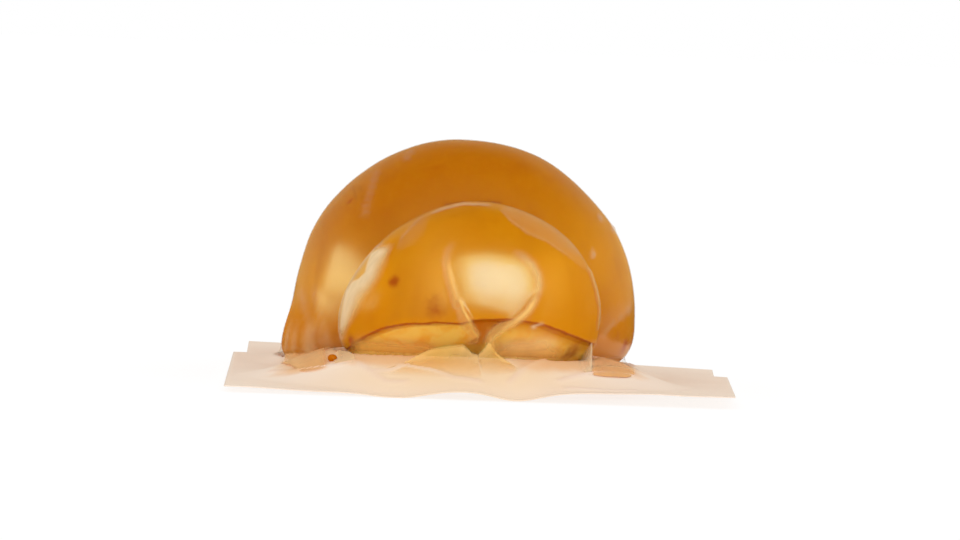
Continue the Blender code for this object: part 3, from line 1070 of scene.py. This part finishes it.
def make_sheet(sheet):
    shape = grid(sheet.columns, sheet.rows)
    haze, pale, shine, amber_tint = layers(shape, "haze", "pale", "shine", "amber_tint")
    for vert in shape.verts:
        across = vert.co.x + 0.5
        down = 0.5 - vert.co.y
        point = on_route(sheet.top, across).lerp(on_route(sheet.bottom, across), down)
        free = math.sin(math.pi * down)
        point.y -= sheet.bulge * free
        fold = noise.noise(Vector((0.05 * across * sheet.columns, 1.2 * down, 7)))
        crumple = noise.noise(Vector((0.09 * across * sheet.columns, 2.5 * down, 2)))
        lift = sheet.flutter * free * (fold + 0.5 * crumple)
        point += Vector((0, -lift, 0.6 * abs(lift)))
        inside = 4 * min(across, 1 - across, 2 * down, 2 * (1 - down))
        edge = smooth_step(0, sheet.ragged + 0.05, inside + sheet.ragged * crumple)
        edge *= smooth_step(0, sheet.soft_start, across) * smooth_step(0, sheet.soft_top, down)
        edge *= smooth_step(0, sheet.soft_end, 1 - across)
        milky = mix(sheet.haze_top, sheet.haze_bottom, down) * edge
        patchy = 0.15 + 0.6 * sheet.ragged
        vert[haze] = min(max(milky * (1 + patchy * (fold + crumple)), 0), 1)
        vert[pale] = mix(sheet.pale, sheet.pale_ends, abs(2 * across - 1))
        vert[shine] = FLAT_SHINE * edge
        vert[amber_tint] = sheet.amber_tint
        point *= MM
        ground = web_height(point.x, point.y) + SHEET_GAP
        point.z = max(point.z, ground + sheet.height * free ** 0.5 * MM)
        vert.co = point
    return add_film(sheet.name, shape)


AMBER_DROP = Vector((-34.4, -55, 7.3)) * MM
AMBER_DROP_SPOT = 0.5  # how dark it is, as a spot of the rind
AMBER_DROP_SIZE = Vector((1.1, 1, 0.9)) * MM


def make_amber_drop():
    """A small amber bead in the film's fold by the neck."""
    shape = bmesh.new()
    bmesh.ops.create_uvsphere(shape, u_segments=32, v_segments=20, radius=1)
    bmesh.ops.scale(shape, verts=shape.verts, vec=AMBER_DROP_SIZE)
    bmesh.ops.translate(shape, verts=shape.verts, vec=AMBER_DROP)
    spot, = layers(shape, "spot")
    for vert in shape.verts:
        vert[spot] = AMBER_DROP_SPOT
    return add_piece("amber_drop", shape, rind_material())


def half_width_at(y):
    if y <= STEP_Y:
        t = (y + HALF_LENGTH) / (STEP_Y + HALF_LENGTH)
        return mix(FRONT_HALF_WIDTH, STEP_HALF_WIDTH, t)
    t = (y - STEP_Y) / (HALF_LENGTH - STEP_Y)
    return mix(REAR_STEP_HALF_WIDTH, REAR_HALF_WIDTH, t)


def flange_height(x, y):
    across = x / STEP_HALF_WIDTH
    along = y / HALF_LENGTH
    height = FLANGE_HEIGHT - FLANGE_FALL_RIGHT * across - FLANGE_TWIST * across * along
    for centre, width, depth in FRONT_SAGS:
        height -= depth * bell(x - centre, width) * bell(y + HALF_LENGTH, SAG_REACH)
    return height


def skirt(x, y):
    """How far the web is drawn up round the foot, from 0 to 1, and how high."""
    most = 0
    height = 0
    for lobe, (foot, width) in ((HEAD, HEAD_SKIRT), (BODY, BODY_SKIRT)):
        reach = lobe.front if y < lobe.y else lobe.back
        around = math.hypot((x - lobe.x) / lobe.half_width, (y - lobe.y) / reach)
        outside = (around - 0.92) * min(reach, lobe.half_width)
        rise = 1 - smooth_step(0, width, outside)
        height = max(height, mix(flange_height(x, y), foot, rise))
        most = max(most, rise)
    return most, height


GROWN_HEAD = replace(inset(HEAD, -WEB_CLEARANCE), back=HEAD.back)
GROWN_BODY = replace(inset(BODY, -WEB_CLEARANCE), front=BODY.front)


def underside(x, y):
    cut = section(y, GROWN_HEAD, GROWN_BODY, FILM_NECK_FILLET)
    across = abs(x - cut.x)
    if across >= cut.half_width:
        return None
    side = cut.right_side if x >= cut.x else cut.left_side
    depth = (1 - (across / cut.half_width) ** FOOT_POWER) ** (1 / FOOT_POWER)
    return side - (side - cut.bottom) * depth


def web_height(x, y):
    """Top of the thin web: along the frame's underside, and its top round the foot."""
    rise, height = skirt(x, y)
    under = underside(x, y)
    if under is not None:
        height = -smooth_max(-height, -under, WEB_FILLET)
        rise = 0 if under < height + WEB_FILLET else rise
    sunk = (FRAME_WEB_THICKNESS - FILM_PAIR) * (1 - smooth_step(0.3, 0.95, rise))
    return max(height - FILM_PAIR - sunk, 0) + FILM_PAIR


WEB_FOLDS = (  # fine folds pressed into the web, (x, y) routes in millimetres
    ((-49, -48), (-44.2, -53.8), (-33.9, -58.7), (-29, -59.2)),
    ((-29, -59.2), (-24.9, -66.5), (-21.6, -70.5), (-17, -71.5)),
    ((-25.2, -65.5), (-20.8, -66.6), (-16.3, -65.2)),
    ((-18.6, -65), (-11.6, -68.3), (-5.8, -72), (0, -73.1)),
    ((6.8, -71.2), (11.4, -63.5), (15, -58)),
    ((18.4, -68.1), (27.7, -58), (37.2, -50)),
    ((20, -72), (30.4, -69.9), (36, -66)),
)


def fold_height(x, y):
    nearest = min(abs(from_route(x / MM, y / MM, route)) for route in WEB_FOLDS)
    return bell(nearest, 0.7)


def make_web():
    shape = grid(WEB_COLUMNS, WEB_ROWS)
    for vert in shape.verts:
        vert.co.y *= 2 * HALF_LENGTH
    for y in (STEP_Y, STEP_Y + STEP_LENGTH):
        cut_plane(shape, (0, y, 0), (0, 1, 0))
    warm, stain, fold = layers(shape, "warm", "stain", "fold")
    for vert in shape.verts:
        y = vert.co.y
        x = 2 * vert.co.x * half_width_at(y)
        point = Vector((x, y, web_height(x, y)))
        near_knot = bell(x + 5 * MM, 30 * MM)
        vert[warm] = mix(0.45, 1, bell(y + 67 * MM, 8 * MM)) * near_knot
        left = bell(x + 40 * MM, 8 * MM) * step_mm(-60, -54, y)
        right = bell(x - 31 * MM, 6.5 * MM) * step_mm(-58, -50, y)
        foot = step_mm(4.8, 8.2, point.z) * step_mm(-25, -45, y)
        foot *= 1 - 0.9 * bell(x - 1 * MM, 9 * MM)
        sides = max(left, right) * step_mm(10, -5, y)
        vert[stain] = max(sides, foot)
        crease = fold_height(x, y)
        # painted shade along the folds
        vert[fold] = crease
        wrinkle = ripple(Vector((x, 0.4 * y, 0)), 9 * MM, 3)
        free = step_mm(1.5, 3, point.z)
        point.z += free * (0.45 * crease + 0.12 * wrinkle) * MM
        vert.co = point
    under = bmesh.ops.extrude_face_region(shape, geom=shape.faces[:])
    for vert in only(bmesh.types.BMVert, under):
        vert.co.z -= FILM_PAIR
    piece = add_piece("peach_web", shape, web_material())
    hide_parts("base_web")
    return piece


# ---------------------------------------------------------------- studio

CAMERA_DISTANCE = 1.6
CAMERA_LENS = 250
CAMERA_ELEVATION = 2.2
CAMERA_ROLL = 2
CAMERA_TARGET = Vector((-0.9, 0, 26.8)) * MM


def aim_at(made, target, azimuth, elevation, distance, roll=0):
    """Aims a camera or light, in degrees. Azimuth 0 is the camera's side, 90 the right."""
    turn = math.radians(azimuth)
    lift = math.radians(elevation)
    way = Vector((math.sin(turn) * math.cos(lift), -math.cos(turn) * math.cos(lift),
                  math.sin(lift)))
    made.location = target + way * distance
    made.rotation_mode = "QUATERNION"
    spin = Quaternion((0, 0, 1), math.radians(roll))
    made.rotation_quaternion = way.to_track_quat("Z", "Y") @ spin


def make_camera():
    data = bpy.data.cameras.new("camera")
    data.lens = CAMERA_LENS
    camera = add_object("camera", data)
    aim_at(camera, CAMERA_TARGET, 0, CAMERA_ELEVATION, CAMERA_DISTANCE, CAMERA_ROLL)
    bpy.context.scene.camera = camera


FLOOR_HALF_SIZE = 14
FLOOR_GLOW = 0.7
FLOOR_GREY = (0.32, 0.32, 0.32)
FLOOR_IN_GLOSS = (0.10, 0.06, 0.02)


def make_floor():
    """A pale floor lit from below like a light table, which keeps the shadows soft."""
    shape = grid(8, 8, FLOOR_HALF_SIZE)
    material, tree, shader = new_material("pale_floor")
    seen_in_gloss = node(tree, "ShaderNodeLightPath").outputs["Is Glossy Ray"]
    feed(tree, shader, Roughness=0.9, Specular_IOR_Level=0,
         Base_Color=mix_colour(tree, seen_in_gloss, FLOOR_GREY, FLOOR_IN_GLOSS),
         Emission_Color=(1, 1, 1, 1),
         Emission_Strength=math_node(tree, "MULTIPLY_ADD", seen_in_gloss, -FLOOR_GLOW,
                                     FLOOR_GLOW))
    floor = add_mesh("floor", shape, material)


FRONT_TINT = (0.80, 1, 0.40)
CORE_TINT = (0.4, 1, 1.45)
LEFT_TINT = (0.86, 1, 0.52)
HORIZON_TINT = (1, 0.78, 0.45)
HORIZON_GLOW = 0.6
SKY_GLOW = 0.004  # what the film mirrors of the rest
OPEN_LIGHT = 1
LIGHT_TARGET = Vector((0, -20, 25)) * MM


def softbox(name, azimuth, elevation, distance, width, height, radiance, gloss_tint=None):
    """A soft light. With a tint it only shows in gloss, without one it only lights forms."""
    data = bpy.data.lights.new(name, "AREA")
    data.shape = "RECTANGLE"
    data.size = width
    data.size_y = height
    data.energy = radiance * math.pi * width * height
    light = add_object(name, data)
    aim_at(light, LIGHT_TARGET, azimuth, elevation, distance)
    light.visible_diffuse = gloss_tint is None
    light.visible_glossy = gloss_tint is not None
    data.color = gloss_tint or (1, 1, 1)


def make_light():
    world = bpy.data.worlds.new("studio")
    bpy.context.scene.world = world
    world.use_nodes = True
    world.cycles.sampling_method = "NONE"
    tree = world.node_tree
    seen_in_gloss = node(tree, "ShaderNodeLightPath").outputs["Is Glossy Ray"]
    where = feed(tree, node(tree, "ShaderNodeSeparateXYZ"),
                 Vector=node(tree, "ShaderNodeTexCoord").outputs["Generated"])
    low = math_node(tree, "SUBTRACT", 1, ramp(tree, where.outputs["Z"], 0.1, 0.75))
    behind = ramp(tree, where.outputs["Y"], -0.1, 0.6)
    glow = math_node(tree, "MULTIPLY_ADD", math_node(tree, "MULTIPLY", low, behind),
                     HORIZON_GLOW, SKY_GLOW)
    level = node(tree, "ShaderNodeMix", data_type="FLOAT")
    for index, value in ((0, seen_in_gloss), (2, OPEN_LIGHT), (3, glow)):
        put(tree, value, level.inputs[index])
    feed(tree, tree.nodes["Background"], Strength=level.outputs[0],
         Color=mix_colour(tree, seen_in_gloss, (1, 1, 1), HORIZON_TINT))
    softbox("front_box", 20, 23, 1.5, 1.65, 1.25, 4.1, FRONT_TINT)
    softbox("front_core", 17, 20, 1.45, 0.98, 0.75, 2.5, CORE_TINT)
    softbox("left_box", -93, 13, 1.2, 0.82, 0.30, 4.5, LEFT_TINT)
    softbox("fill", 8, 3, 2, 1.6, 0.4, 2.2)
    bpy.context.scene.view_settings.view_transform = "Standard"
    bpy.context.scene.view_settings.look = "None"


make_film(make_cheese())
for sheet in SHEETS:
    make_sheet(sheet)
make_amber_drop()
make_web()
make_camera()
make_floor()
make_light()
